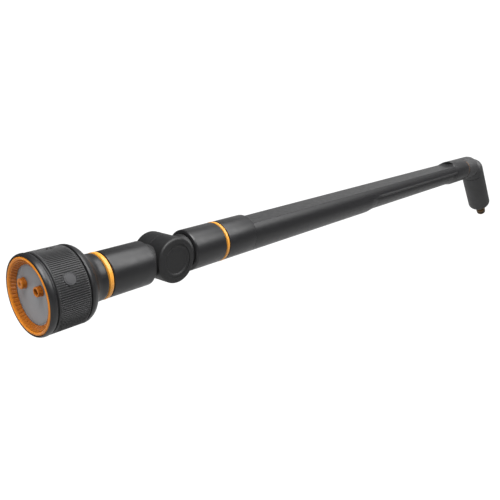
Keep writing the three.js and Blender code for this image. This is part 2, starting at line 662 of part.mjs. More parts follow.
// The plug's socket takes the inner pipe, its flange sits on the grip's floor, and the part that
// sticks out has a snap groove, an O-ring groove and a chamfered tip.
function hosePlug() {
  const socketRim = 12.5;
  const flangeTop = 104.5;
  const flangeRear = GRIP_END - 7 - GAP;
  return turned([
    [84, PIPE_SOCKET], [84, socketRim], [flangeTop, socketRim], [flangeTop, 15.5],
    [flangeRear, 15.5], [flangeRear, PLUG_COLLAR], [124.6, PLUG_COLLAR], [126, PLUG_OUTER],
    [128, PLUG_OUTER], [128.8, 7.3], [131.5, 7.3], [132.5, PLUG_OUTER], [138.6, PLUG_OUTER],
    [138.6, 7.4], [141.4, 7.4], [141.4, 8.6], [144.7, 8.4], [PLUG_END, 7.4],
    [PLUG_END, PLUG_BORE], [100, PLUG_BORE], [98, PIPE_SOCKET],
  ], COARSE);
}

function plugORing() {
  return turned([
    [138.9, 7.7], [138.9, 8.6], [139.4, 8.9], [140.6, 8.9], [141.1, 8.6], [141.1, 7.7],
  ], COARSE);
}

// A disc with a ring of holes and one in the middle.
function inletFilter() {
  const holes = 6;
  const circle = 3;
  const front = GRIP_END + 1;
  const shape = new THREE.Shape().absarc(0, 0, PLUG_BORE - GAP, 0, 2 * Math.PI);
  const drill = (y, z) => shape.holes.push(new THREE.Path().absarc(y, z, 0.9, 0, 2 * Math.PI));
  drill(0, 0);
  for (let i = 0; i < holes; i += 1) {
    const angle = (2 * Math.PI * i) / holes;
    drill(circle * Math.cos(angle), circle * Math.sin(angle));
  }
  return swept(shape, front, front + 1.2, 4);
}

function buildGrip() {
  const group = new THREE.Group();
  group.position.x = BEND_STATION;
  group.rotation.y = BEND;
  add(group, 'grip_sleeve', gripSleeve(), SHELL_BLACK);
  add(group, 'grip_tube', ring(30, 96, PIPE_BORE, PIPE_RADIUS, 16), PIPE_ALUMINIUM);
  add(group, 'grip_tube_upper_seal', pipeSeal(35), SEAL_RUBBER);
  add(group, 'grip_tube_lower_seal', pipeSeal(88), SEAL_RUBBER);
  add(group, 'plug_retainer', ring(101, 104.2, 12.8, SPIGOT_RADIUS, COARSE), INNER_BLACK);
  add(group, 'hose_plug', hosePlug(), BRASS);
  add(group, 'plug_o_ring', plugORing(), SEAL_RUBBER);
  add(group, 'inlet_filter', inletFilter(), STEEL);
  return group;
}

// The whole wand ---------------------------------------------------------------------------------

const wand = new THREE.Group();
wand.add(buildTurret(), buildHeadArm(), buildPivot(), buildHandle(), buildGrip());
add(wand, 'elbow', elbow(), SHELL_BLACK);
const gripCentre = new THREE.Vector3(GRIP_CENTRE, 0, 0).applyAxisAngle(Y, BEND);
wand.position.set(-BEND_STATION - gripCentre.x, 0, -gripCentre.z);

export default wand;
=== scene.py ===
"""Looks for the watering wand: fine meshes, materials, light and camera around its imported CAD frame.

Outlines are in millimetres. A station counts along a piece's own axis and a radius from it:
the tube's axis starts at the spray face, the grip's where it meets the tube's, and the knuckle's
at the middle plane. Each piece's object sits on its axis, and its mesh is in metres.
"""

import json
import math

import bmesh
import bpy
from mathutils import Matrix, Vector

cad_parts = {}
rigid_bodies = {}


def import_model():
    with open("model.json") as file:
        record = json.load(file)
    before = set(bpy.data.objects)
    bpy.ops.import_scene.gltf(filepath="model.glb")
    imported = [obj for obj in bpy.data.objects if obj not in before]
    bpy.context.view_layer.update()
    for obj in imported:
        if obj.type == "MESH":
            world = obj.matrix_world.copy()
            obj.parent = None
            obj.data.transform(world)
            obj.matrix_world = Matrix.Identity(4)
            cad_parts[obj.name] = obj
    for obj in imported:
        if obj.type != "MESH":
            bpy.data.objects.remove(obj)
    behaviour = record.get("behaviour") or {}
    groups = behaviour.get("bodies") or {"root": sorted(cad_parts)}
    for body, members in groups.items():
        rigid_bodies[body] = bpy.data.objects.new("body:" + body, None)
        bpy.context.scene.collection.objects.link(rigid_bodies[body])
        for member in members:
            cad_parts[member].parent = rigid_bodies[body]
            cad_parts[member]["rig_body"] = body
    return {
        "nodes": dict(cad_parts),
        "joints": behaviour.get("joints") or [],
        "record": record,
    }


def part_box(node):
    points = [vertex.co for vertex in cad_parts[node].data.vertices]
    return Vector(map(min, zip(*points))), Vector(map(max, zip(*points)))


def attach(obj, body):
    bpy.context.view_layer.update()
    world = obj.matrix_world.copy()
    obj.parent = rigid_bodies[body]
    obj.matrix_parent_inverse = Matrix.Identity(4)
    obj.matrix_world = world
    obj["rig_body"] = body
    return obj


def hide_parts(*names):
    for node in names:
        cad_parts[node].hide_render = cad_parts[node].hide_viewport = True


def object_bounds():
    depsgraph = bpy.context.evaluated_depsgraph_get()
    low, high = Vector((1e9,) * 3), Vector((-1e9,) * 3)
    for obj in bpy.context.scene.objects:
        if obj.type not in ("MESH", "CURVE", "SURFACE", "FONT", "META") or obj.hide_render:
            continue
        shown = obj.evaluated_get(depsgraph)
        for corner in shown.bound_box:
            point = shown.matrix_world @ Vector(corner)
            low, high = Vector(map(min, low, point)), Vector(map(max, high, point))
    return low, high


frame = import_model()
CAD_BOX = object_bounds()

MM = 0.001
TURN = 2 * math.pi

# The frame: axes, places and driving sizes ------------------------------------------------------

RECORD = frame["record"]
MOUNTS = {mount["name"]: mount for mount in RECORD["mounts"]}
JOINTS = {joint["name"]: joint for joint in frame["joints"]}
SLOTS = {part["node"]: part["material_slot"] for part in RECORD["subparts"]}

PIVOT_POINT = Vector(JOINTS["head_tilt"]["pos_m"])
GRIP_AXIS = Vector(MOUNTS["hand_grip"]["axis"])
BEND = math.atan2(-GRIP_AXIS.z, GRIP_AXIS.x)
AXIS_Z = PIVOT_POINT.z
FACE_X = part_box("face_ring")[0].x
BEND_X = -AXIS_Z / math.tan(BEND)  # where the tube's axis meets the grip's

ON_TUBE = Matrix.Translation((FACE_X, 0, AXIS_Z))
ON_GRIP = Matrix.Translation((BEND_X, 0, AXIS_Z)) @ Matrix.Rotation(BEND, 4, "Y")
AT_PIVOT = Matrix.Translation(PIVOT_POINT)
HALF_TURN = Matrix.Rotation(math.pi, 4, "Z")
NEAR_SIDE = Matrix.Rotation(-math.pi / 2, 4, "Z")


def span(node):
    """A tube piece's first and last station."""
    low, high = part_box(node)
    return (low.x - FACE_X) / MM, (high.x - FACE_X) / MM


def half_width(node):
    """Half a node's size across the middle plane: a round tube piece's radius."""
    low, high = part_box(node)
    return (high.y - low.y) / 2 / MM


def half_height(node):
    """Half a node's size upwards."""
    low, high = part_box(node)
    return (high.z - low.z) / 2 / MM


TUBE = half_width("front_collar")
HEAD = half_width("bezel_ring")
FACE = half_width("face_ring")
PLATE = half_width("spray_plate")
KNURL = half_width("grip_ring")
BARREL = half_height("front_knuckle")
COVER = half_width("lower_cover")
FLAT = (MOUNTS["top_flat"]["pos_m"][2] - AXIS_Z) / MM
PIVOT = (PIVOT_POINT.x - FACE_X) / MM
RIM = (PIVOT_POINT.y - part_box("rear_knuckle")[0].y) / MM  # the knuckle's half length
SPIGOT = 17.2
SOCKET = SPIGOT + 0.4
BORE = 14.5
WALL = 2.3
GAP = 0.3  # between two shells that meet
SMOOTH = 112  # sides of a full-size round

# Mesh helpers -----------------------------------------------------------------------------------


def rounded(corners, steps=6):
    """Outline points of corners (station, radius, fillet), with each fillet drawn as an arc."""
    points = []
    count = len(corners)
    for i, corner in enumerate(corners):
        here = Vector(corner[:2])
        fillet = corner[2] if len(corner) > 2 else 0
        if not fillet:
            points.append(tuple(here))
            continue
        back = Vector(corners[i - 1][:2]) - here
        ahead = Vector(corners[(i + 1) % count][:2]) - here
        half = back.angle(ahead) / 2
        reach = min(fillet / math.tan(half), 0.49 * back.length, 0.49 * ahead.length)
        back.normalize()
        ahead.normalize()
        middle = here + (back + ahead).normalized() * reach / math.cos(half)
        first = here + back * reach - middle
        last = here + ahead * reach - middle
        sweep = first.angle_signed(last)
        for k in range(steps + 1):
            angle = -sweep * k / steps
            turned_point = Matrix.Rotation(angle, 2) @ first
            points.append(tuple(middle + turned_point))
    return points


def curve(points, steps=6):
    """A smooth line through points, by Catmull-Rom pieces."""
    known = [Vector(p) for p in points]
    ends = [2 * known[0] - known[1], *known, 2 * known[-1] - known[-2]]
    line = []
    for a, b, c, d in zip(ends, ends[1:], ends[2:], ends[3:]):
        for k in range(steps):
            t = k / steps
            line.append(tuple(0.5 * (
                2 * b + (c - a) * t + (2 * a - 5 * b + 4 * c - d) * t**2
                + (3 * b - a - 3 * c + d) * t**3
            )))
    line.append(tuple(known[-1]))
    return line


def arc(centre, radius, start, end, steps=10, stretch=1):
    """Points of a round from angle start to end, in degrees: 0 points along the axis, 90 outwards."""
    points = []
    for k in range(steps + 1):
        angle = math.radians(start + (end - start) * k / steps)
        points.append((centre[0] + radius * stretch * math.cos(angle),
                       centre[1] + radius * math.sin(angle)))
    return points


def smoothstep(low, high, value):
    """0 below low, 1 above high, and a smooth rise between."""
    t = min(max((value - low) / (high - low), 0), 1)
    return t * t * (3 - 2 * t)


def between(first, last, steps):
    """Evenly spaced stations from first to last."""
    return [first + (last - first) * k / steps for k in range(steps + 1)]


def to_object(name, shape, place):
    """A linked object from a bmesh, with its faces turned outwards."""
    bmesh.ops.recalc_face_normals(shape, faces=shape.faces)
    mesh = bpy.data.meshes.new(name)
    shape.to_mesh(mesh)
    shape.free()
    made = bpy.data.objects.new(name, mesh)
    bpy.context.scene.collection.objects.link(made)
    made.matrix_world = place
    return made


def strip(shape, first, second):
    """Faces between two closed rings of vertices, either of which may be one pole."""
    count = max(len(first), len(second))
    for i in range(count):
        j = (i + 1) % count
        corners = [first[i % len(first)], first[j % len(first)],
                   second[j % len(second)], second[i % len(second)]]
        shape.faces.new(list(dict.fromkeys(corners)))


def turned(name, outline, place=ON_TUBE, sides=SMOOTH, relief=None):
    """A closed outline turned round its axis. relief(station, radius, angle) adds to a radius."""
    shape = bmesh.new()
    rings = []
    for station, radius in outline:
        if radius < 1e-6:
            rings.append([shape.verts.new((station * MM, 0, 0))])
            continue
        ring = []
        for i in range(sides):
            angle = TURN * i / sides
            reach = radius + (relief(station, radius, angle) if relief else 0)
            ring.append(shape.verts.new(
                (station * MM, reach * MM * math.cos(angle), reach * MM * math.sin(angle))))
        rings.append(ring)
    for first, second in zip(rings, rings[1:]):
        strip(shape, first, second)
    if len(rings[0]) > 1:
        strip(shape, rings[-1], rings[0])
    return to_object(name, shape, place)


def swept(name, stations, outer, inner, whole=True, place=ON_TUBE):
    """A wall between two section lines with as many points each, swept along the tube.
    outer and inner give a station's (y, z) points. whole is False where the section is open."""
    shape = bmesh.new()
    layers = []
    for station in stations:
        layers.append([
            [shape.verts.new((station * MM, y * MM, z * MM)) for y, z in line(station)]
            for line in (outer, inner)
        ])
    count = len(layers[0][0])
    steps = range(count if whole else count - 1)
    for (outer_a, inner_a), (outer_b, inner_b) in zip(layers, layers[1:]):
        for i in steps:
            j = (i + 1) % count
            shape.faces.new((outer_a[i], outer_a[j], outer_b[j], outer_b[i]))
            shape.faces.new((inner_a[i], inner_a[j], inner_b[j], inner_b[i]))
        for i in () if whole else (0, count - 1):
            shape.faces.new((outer_a[i], outer_b[i], inner_b[i], inner_a[i]))
    for outer_end, inner_end in (layers[0], layers[-1]):
        for i in steps:
            j = (i + 1) % count
            shape.faces.new((outer_end[i], outer_end[j], inner_end[j], inner_end[i]))
    return to_object(name, shape, place)


def bake_modifiers(made):
    """Puts what an object's modifiers make into its own mesh."""
    graph = bpy.context.evaluated_depsgraph_get()
    mesh = bpy.data.meshes.new_from_object(made.evaluated_get(graph))
    made.modifiers.clear()
    made.data = mesh


def combine(made, others, operation):
    """Joins others to an object, or cuts them from it: operation is UNION or DIFFERENCE."""
    for other in others:
        modifier = made.modifiers.new(operation, "BOOLEAN")
        modifier.operation = operation
        modifier.solver = "MANIFOLD"
        modifier.object = other
    bake_modifiers(made)
    for other in others:
        bpy.data.objects.remove(other)
    return made


def rod(front, rear, radius, place=ON_TUBE, sides=48):
    """A plain round cutter or plug."""
    outline = [(front, 0), (front, radius), (rear, radius), (rear, 0)]
    return turned("rod", outline, place, sides)


def disc_place(station, degrees):
    """The place of a disc that faces out from the head at an angle above the near side."""
    out = Matrix.Rotation(-math.radians(degrees), 4, "X") @ NEAR_SIDE
    return ON_TUBE @ Matrix.Translation((station * MM, 0, 0)) @ out


KNUCKLE_PIECES = ("front_knuckle", "rear_knuckle", "near_knuckle_cap", "far_knuckle_cap")
OWN_LOOKS = {  # pieces that don't look quite like the rest of their slot
    **dict.fromkeys(KNUCKLE_PIECES, "matt_black"),
    "elbow": "grip_black",
    "grip_sleeve": "grip_black",
    # painted shade: the rear ring is the accent orange painted darker, as the shade in its groove
    "rear_accent_ring": "shaded_orange",
}


def show(node, made, sharp=32):
    """Gives a finished piece its name, shading, body, slot and material, in place of its CAD node."""
    made.data.transform(made.matrix_world)
    made.matrix_world = Matrix.Identity(4)
    made.name = "fine_" + node
    made.data.name = made.name
    made.data.shade_smooth()
    made.data.set_sharp_from_angle(angle=math.radians(sharp))
    made.data.materials.clear()
    made.data.materials.append(MATERIALS[OWN_LOOKS.get(node, SLOTS[node])])
    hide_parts(node)
    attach(made, frame["nodes"][node]["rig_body"])


# Materials --------------------------------------------------------------------------------------


def add_node(tree, kind, settings=None, **inputs):
    """Adds a node. An input is a number, a colour, a vector or another node's output socket."""
    made = tree.nodes.new(kind)
    for key, value in (settings or {}).items():
        setattr(made, key, value)
    for key, value in inputs.items():
        socket = made.inputs[key.replace("_", " ")]
        if isinstance(value, bpy.types.NodeSocket):
            tree.links.new(value, socket)
        else:
            socket.default_value = value
    return made


def noise(tree, size_mm, detail, stretch=(1, 1, 1), tilt=0.0):
    """Noise with features of about one size, drawn out along each axis by stretch. tilt turns those
    axes from the tube's towards the grip's."""
    coordinates = add_node(tree, "ShaderNodeTexCoord")
    scaled = add_node(tree, "ShaderNodeMapping", {"vector_type": "TEXTURE"}, Scale=stretch,
                      Vector=coordinates.outputs["Object"], Rotation=(0, tilt, 0))
    made = add_node(tree, "ShaderNodeTexNoise", Vector=scaled.outputs["Vector"],
                    Scale=1 / (size_mm * MM), Detail=detail, Roughness=0.55)
    return made.outputs["Fac"]


def ranged(tree, value, low, high):
    """Spreads the middle of a noise's range between low and high."""
    made = add_node(tree, "ShaderNodeMapRange", Value=value, From_Min=0.3, From_Max=0.7,
                    To_Min=low, To_Max=high)
    return made.outputs["Result"]


def blended(tree, factor, first, second):
    """A colour between two others."""
    made = add_node(tree, "ShaderNodeMix", {"data_type": "RGBA"})
    tree.links.new(factor, made.inputs[0])
    made.inputs[6].default_value = (*first, 1)
    made.inputs[7].default_value = (*second, 1)
    return made.outputs[2]


def new_material(name):
    """A material, its node tree and its shader."""
    material = bpy.data.materials.new(name)
    material.use_nodes = True
    tree = material.node_tree
    shader = tree.nodes["Principled BSDF"]
    return material, tree, shader


def bumped(tree, shader, layers):
    """Stacks bump layers (height, depth_mm), finest last."""
    normal = None
    for height, depth in layers:
        bump = add_node(tree, "ShaderNodeBump", Height=height, Strength=1.0, Distance=depth * MM)
        if normal:
            tree.links.new(normal, bump.inputs["Normal"])
        normal = bump.outputs["Normal"]
    tree.links.new(normal, shader.inputs["Normal"])


def moulded(name, colour, roughness, grain=0.35, depth=0.012, vary=0.12, specular=0.5, wave=0.02):
    """Moulded plastic: a fine spark-eroded grain, slight flow marks and uneven gloss."""
    material, tree, shader = new_material(name)
    flow = noise(tree, 14, 3, stretch=(3, 1, 1))
    light = [c * (1 + vary) for c in colour]
    dark = [c * (1 - vary) for c in colour]
    tree.links.new(blended(tree, flow, dark, light), shader.inputs["Base Color"])
    gloss = ranged(tree, noise(tree, 6, 4), roughness - 0.05, roughness + 0.05)
    tree.links.new(gloss, shader.inputs["Roughness"])
    shader.inputs["Specular IOR Level"].default_value = specular
    bumped(tree, shader, [(noise(tree, 9, 1), wave), (noise(tree, grain, 3), depth)])
    return material


def rubber(name, colour, roughness):
    """Soft moulded rubber: dull, with a fine dusty grain."""
    material, tree, shader = new_material(name)
    bloom = noise(tree, 5, 4)
    light = [c * 1.3 for c in colour]
    dark = [c * 0.8 for c in colour]
    tree.links.new(blended(tree, bloom, dark, light), shader.inputs["Base Color"])
    gloss = ranged(tree, noise(tree, 2, 3), roughness - 0.07, roughness + 0.05)
    tree.links.new(gloss, shader.inputs["Roughness"])
    shader.inputs["Sheen Weight"].default_value = 0.07
    shader.inputs["Sheen Roughness"].default_value = 0.5
    bumped(tree, shader, [(noise(tree, 0.22, 3), 0.014)])
    return material


def metal(name, colour, roughness, stretch, scratch_mm=0.12, stain=None, tilt=0.0):
    """Machined or drawn metal: fine lines along one way, and stains if a colour is given."""
    material, tree, shader = new_material(name)
    patch = ranged(tree, noise(tree, 3, 4), 0, 1)
    other = stain or [c * 0.85 for c in colour]
    tree.links.new(blended(tree, patch, colour, other), shader.inputs["Base Color"])
    lines = noise(tree, scratch_mm, 2, stretch=stretch, tilt=tilt)
    gloss = ranged(tree, lines, roughness - 0.06, roughness + 0.1)
    tree.links.new(gloss, shader.inputs["Roughness"])
    shader.inputs["Metallic"].default_value = 1.0
    bumped(tree, shader, [(lines, 0.004)])
    return material


def face_orange():
    """Bright at the spray face's lip, and painted darker down inside it: painted shade of the ribs on
    each other.
    """
    bright_to, dull_from = 0.3, 1.6
    painted_rib_shade = (0.46, 0.40, 0.42, 1)
    material = moulded("face_orange", (0.92, 0.31, 0.03), 0.36, grain=0.5, depth=0.006, vary=0.04,
                       specular=0.22)
    tree = material.node_tree
    colour = tree.nodes["Principled BSDF"].inputs["Base Color"]
    place = add_node(tree, "ShaderNodeTexCoord").outputs["Object"]
    along = add_node(tree, "ShaderNodeSeparateXYZ", Vector=place).outputs["X"]
    depth = add_node(tree, "ShaderNodeMapRange", Value=along, From_Min=FACE_X + bright_to * MM,
                     From_Max=FACE_X + dull_from * MM, To_Min=0, To_Max=1)
    # painted shade: the orange is multiplied darker from just behind the lip inwards, in place of the
    # shade the ribs cast on each other
    rib_shaded = add_node(tree, "ShaderNodeMix", {"data_type": "RGBA", "blend_type": "MULTIPLY"})
    tree.links.new(depth.outputs["Result"], rib_shaded.inputs[0])
    tree.links.new(colour.links[0].from_socket, rib_shaded.inputs[6])
    rib_shaded.inputs[7].default_value = painted_rib_shade
    tree.links.new(rib_shaded.outputs[2], colour)
    return material


MATERIALS = {
    "shell_black": moulded("shell_black", (0.015, 0.015, 0.016), 0.35),
    "ribbed_black": rubber("ribbed_black", (0.0185, 0.0185, 0.0195), 0.5),
    "matt_black": moulded("matt_black", (0.011, 0.011, 0.0115), 0.52, grain=0.4, depth=0.02),
    "grip_black": moulded("grip_black", (0.038, 0.038, 0.039), 0.52, grain=0.4, depth=0.02),
    "inner_black": moulded("inner_black", (0.018, 0.018, 0.019), 0.5),
    "accent_orange": moulded("accent_orange", (0.86, 0.37, 0.05), 0.3, grain=0.5, depth=0.004,
                             vary=0.05),
    # painted shade: the accent orange painted darker for the rear ring, which sits in shade
    "shaded_orange": moulded("shaded_orange", (0.5, 0.22, 0.07), 0.45, grain=0.5, depth=0.004,
                           vary=0.05, specular=0.3),
    "face_orange": face_orange(),
    "plate_grey": moulded("plate_grey", (0.34, 0.345, 0.36), 0.42, grain=0.4, depth=0.008,
                          vary=0.05),
    "pad_grey": moulded("pad_grey", (0.045, 0.045, 0.048), 0.55, grain=0.3, depth=0.008),
    "seal_rubber": rubber("seal_rubber", (0.012, 0.012, 0.012), 0.55),
    "carrier_white": moulded("carrier_white", (0.58, 0.57, 0.53), 0.45, grain=0.5, depth=0.006,
                             vary=0.04),
    "steel": metal("steel", (0.45, 0.46, 0.47), 0.28, (20, 1, 1)),
    "brass": metal("brass", (0.17, 0.105, 0.05), 0.36, (1, 20, 20), scratch_mm=0.15,
                   stain=(0.07, 0.042, 0.022), tilt=BEND),
    "pipe_aluminium": metal("pipe_aluminium", (0.42, 0.43, 0.44), 0.32, (25, 1, 1)),
}

# Spray turret -----------------------------------------------------------------------------------


def bezel_ring():
    """A rounded bead: it rises from the face to a crest and falls again to the groove behind it."""
    front, rear = span("bezel_ring")
    bore = FACE + GAP
    crest = (front + rear) / 2
    back = rear - 0.9
    fall = 1.2
    groove = HEAD - 2
    rise = arc((crest, bore), HEAD - bore, 180, 90, 12, stretch=(crest - front) / (HEAD - bore))
    descent = arc((crest, HEAD - fall), fall, 90, 0, 10, stretch=(back - crest) / fall)
    outline = [*rise, *descent[1:], (back, groove), (rear, groove), (rear, bore)]
    return turned("bezel_ring", outline)


FACE_RIBS = 50
FACE_RIB_HEIGHT = 0.7
LIP = 29
NOZZLE_SHANK = 3.1
NOZZLE_SET_BACK = 0.6


def face_ring():
    """The orange ring: a thin lip, and a cone with raised ribs that run down to the plate."""
    front, rear = span("face_ring")
    seat = span("spray_plate")[0] - GAP
    opening = 25.2
    cone_top = (front + 0.9, LIP - 0.5)
    cone = [tuple(Vector(cone_top).lerp(Vector((seat, opening)), k / 12)) for k in range(13)]
    counterbore = PLATE + GAP
    middle = (LIP + FACE) / 2
    half = (FACE - LIP) / 2
    bead_fall = 1.3
    bead = [(front + bead_fall * (k / 8) ** 2, middle + half * k / 8) for k in range(-8, 9)]
    outline = [*bead, (rear, FACE), (rear, counterbore), (seat, counterbore), *reversed(cone)]

    def ribs(station, radius, angle):
        if radius > LIP - 0.6 or station < cone_top[0]:
            return 0
        fade = smoothstep(cone_top[0], cone_top[0] + 0.7, station)
        fade *= 1 - smoothstep(seat - 0.35, seat, station)
        crest = smoothstep(-0.85, 0.1, math.cos(FACE_RIBS * angle))
        return -FACE_RIB_HEIGHT * fade * crest

    return turned("face_ring", outline, sides=FACE_RIBS * 12, relief=ribs)


def spray_plate():
    """The grey plate: a fine groove near its rim, and a hole for each nozzle's shank."""
    front, rear = span("spray_plate")
    groove = 23.6
    deep = front + 0.25
    outline = [
        (front, 0), (front, groove), (deep, groove + 0.25), (deep, groove + 0.55),
        (front, groove + 0.8), (front, PLATE - 0.2), (front + 0.2, PLATE), (rear, PLATE), (rear, 0),
    ]
    plate = turned("spray_plate", outline)
    holes = [
        nozzle_rod(node, front - 1, rear + 1, NOZZLE_SHANK + GAP)
        for node in ("jet_nozzle", "mist_nozzle")
    ]
    return combine(plate, holes, "DIFFERENCE")


def nozzle_place(node):
    """A nozzle's own axis, with stations that still count from the spray face."""
    low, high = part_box(node)
    return Matrix.Translation((FACE_X, (low.y + high.y) / 2, (low.z + high.z) / 2))


def nozzle_rod(node, front, rear, radius):
    """A round cutter on a nozzle's axis."""
    return rod(front, rear, radius, nozzle_place(node))


def jet_nozzle():
    """A short tube through the plate, its bore widening towards the lip."""
    front, rear = span("jet_nozzle")
    lip = front + NOZZLE_SET_BACK
    shoulder = span("spray_plate")[0] - GAP
    radius = 4.1
    bore = 1.8
    throat = front + 7
    outline = rounded([
        (throat, bore), (throat, 2.4), (lip, 2.9, 0.3), (lip, radius, 0.5),
        (shoulder - 0.6, radius, 0.6), (shoulder, radius + 0.5, 0.1), (shoulder, NOZZLE_SHANK),
        (rear, NOZZLE_SHANK), (rear, bore),
    ])
    return turned("jet_nozzle", outline, nozzle_place("jet_nozzle"), sides=64)


def mist_nozzle():
    """A boss with a dimple in its front, closed but for a bore from behind."""
    front, rear = span("mist_nozzle")
    front += NOZZLE_SET_BACK
    shoulder = span("spray_plate")[0] - GAP
    radius = 4.3
    dimple = front + 0.9
    bore = 1.6
    bore_end = front + 2.5
    outline = rounded([
        (dimple, 0), (dimple, 0.9, 0.3), (front, 2.0, 0.4), (front, radius, 0.5),
        (shoulder - 0.6, radius, 0.6), (shoulder, radius + 0.6, 0.1), (shoulder, NOZZLE_SHANK),
        (rear, NOZZLE_SHANK), (rear, bore), (bore_end, bore), (bore_end, 0),
    ])
    return turned("mist_nozzle", outline, nozzle_place("mist_nozzle"), sides=64)


PAD_STATION, PAD_ANGLE, PAD_RADIUS = 20.7, 28.5, 5.2
MARK_STATION, MARK_ANGLE, MARK_RADIUS = 23, 91, 2.4
DISC_SPAN = (KNURL - 0.6, HEAD + 0.1)
GRIP_RIBS = 113
RIB_DEPTH = 0.7


def clear_of_disc(station, angle, disc_station, disc_angle, radius):
    """0 on a disc of the grip ring's surface and 1 away from it."""
    centre = math.radians(180 - disc_angle)
    around = (angle - centre + math.pi) % TURN - math.pi
    distance = math.hypot(station - disc_station, around * KNURL)
    return smoothstep(radius + 0.5, radius + 0.9, distance)


def grip_ring():
    """The turning ring: fine ribs along it, with plain land round the pad and the mark."""
    front, rear = span("grip_ring")
    bore = 30.6
    land = 0.9
    outline = [
        (front, bore), (front, KNURL - 0.7), (front + 0.35, KNURL - 0.25),
        *[(station, KNURL) for station in between(front + land, rear - land, 50)],
        (rear - 0.35, KNURL - 0.25), (rear, KNURL - 0.7), (rear, bore),
    ]

    def ribs(station, radius, angle):
        if radius < KNURL - 0.01:
            return 0
        fade = smoothstep(front + 0.8, front + 1.8, station)
        fade *= 1 - smoothstep(rear - 1.8, rear - 0.8, station)
        fade *= clear_of_disc(station, angle, PAD_STATION, PAD_ANGLE, PAD_RADIUS)
        fade *= clear_of_disc(station, angle, MARK_STATION, MARK_ANGLE, MARK_RADIUS)
        groove = 1 - smoothstep(-0.6, 0.5, math.cos(GRIP_RIBS * angle))
        return -RIB_DEPTH * groove * fade

    ring = turned("grip_ring", outline, sides=GRIP_RIBS * 8, relief=ribs)
    pocket_floor = KNURL - 0.9
    pockets = [
        rod(pocket_floor, HEAD + 1, PAD_RADIUS + GAP, disc_place(PAD_STATION, PAD_ANGLE), 64),
        rod(pocket_floor, HEAD + 1, MARK_RADIUS + GAP, disc_place(MARK_STATION, MARK_ANGLE), 40),
    ]
    return combine(ring, pockets, "DIFFERENCE")


def badge_pad():
    """A plain slightly domed pad with a shallow ring near its edge."""
    low, high = DISC_SPAN
    inner = PAD_RADIUS - 1.4
    dome = [(high - 0.12 * (k / 4) ** 2, inner * k / 4) for k in range(5)]
    outline = [
        *dome, (high - 0.3, inner + 0.2), (high - 0.3, inner + 0.5), (high - 0.15, inner + 0.7),
        (high - 0.2, PAD_RADIUS - 0.3), (high - 0.45, PAD_RADIUS), (low, PAD_RADIUS), (low, 0),
    ]
    return turned("badge_pad", outline, disc_place(PAD_STATION, PAD_ANGLE), sides=64)


def index_mark():
    """A small dished pip on top of the ring."""
    low, high = DISC_SPAN
    outline = [
        (high - 0.7, 0), (high - 0.6, 1.1), (high - 0.1, 1.7), (high - 0.15, 2.1),
        (high - 0.4, MARK_RADIUS), (low, MARK_RADIUS), (low, 0),
    ]
    return turned("index_mark", outline, disc_place(MARK_STATION, MARK_ANGLE), sides=40)


# Head arm ---------------------------------------------------------------------------------------


def head_housing():
    """The fixed bell behind the turret: a hub inside the ring, then a flare down to the tube."""
    front, rear = span("head_housing")
    hub = 27
    shoulder = 36.8
    chamber = 24
    chamber_front, chamber_rear = 20, 46
    socket_floor = 54
    screw_hole = 2.2
    screw_boss = 5
    boss_end = 28
    flare = curve([
        (39.8, HEAD - 0.5), (43, 32), (45.4, 29.2), (47.7, 26.2), (50.4, 23.2), (54.5, 21.5),
        (60, TUBE + 0.1),
    ])
    outline = [
        (front, screw_hole), (front, hub - 0.5), (front + 0.5, hub), (shoulder, hub),
        (shoulder, HEAD - 1.0), (shoulder + 0.4, HEAD - 0.35), (shoulder + 1, HEAD - 0.2),
        *flare, (rear - 0.9, TUBE), (rear - 0.3, TUBE - 0.3), (rear, TUBE - 1), (rear, SOCKET),
        (socket_floor, SOCKET), (chamber_rear, chamber), (chamber_front, chamber),
        (chamber_front, screw_boss), (boss_end, screw_boss), (boss_end, screw_hole),
    ]
    bell = turned("head_housing", outline)
    seal_seat = nozzle_rod("jet_nozzle", front - 1, rear=18.7, radius=5.3)
    water_port = nozzle_rod("jet_nozzle", front - 1, rear=21, radius=2.8)
    below_axis = ON_TUBE @ Matrix.Translation((0, 0, -28.5 * MM))
    detent_hole = rod(shoulder - 1, rear=43.5, radius=2.3, place=below_axis)
    return combine(bell, [seal_seat, water_port, detent_hole], "DIFFERENCE")


def accent_ring(node):
    """An orange ring between two tubes: a flat crest between two sloping shoulders."""
    front, rear = span(node)
    slope = 0.8
    outer = half_width(node)
    low = outer - 2.3
    outline = rounded([
        (front, SPIGOT + GAP), (front, low, 0.2), (front + slope, outer, 0.6),
        (rear - slope, outer, 0.6), (rear, low, 0.2), (rear, SPIGOT + GAP),
    ])
    return turned(node, outline)


def front_tube():
    """The short tube: a spigot with a seal groove goes into the housing, through the ring."""
    front, rear = span("front_tube")
    shoulder = span("front_accent_ring")[1] + 2 * GAP
    groove = (58.2, 60.8)
    groove_floor = SPIGOT - 1.5
    outline = rounded([
        (front, BORE), (front, SPIGOT, 0.4), (groove[0], SPIGOT), (groove[0], groove_floor),
        (groove[1], groove_floor), (groove[1], SPIGOT), (shoulder, SPIGOT), (shoulder, TUBE, 1),
        (rear, TUBE, 0.9), (rear, BORE),
    ])
    return turned("front_tube", outline)


# Knuckle ----------------------------------------------------------------------------------------

NECK = 16.2
NECK_END = 17.5
PLUG = BORE - GAP
SPINDLE = 9
CHANNEL = 5.5
CHANNEL_SIDE = 7
PIPE_SOCKET = 9.6
HALF_GAP = 0.2
WASHER = 18
CAP = 16
CAP_FLOOR = 14.1


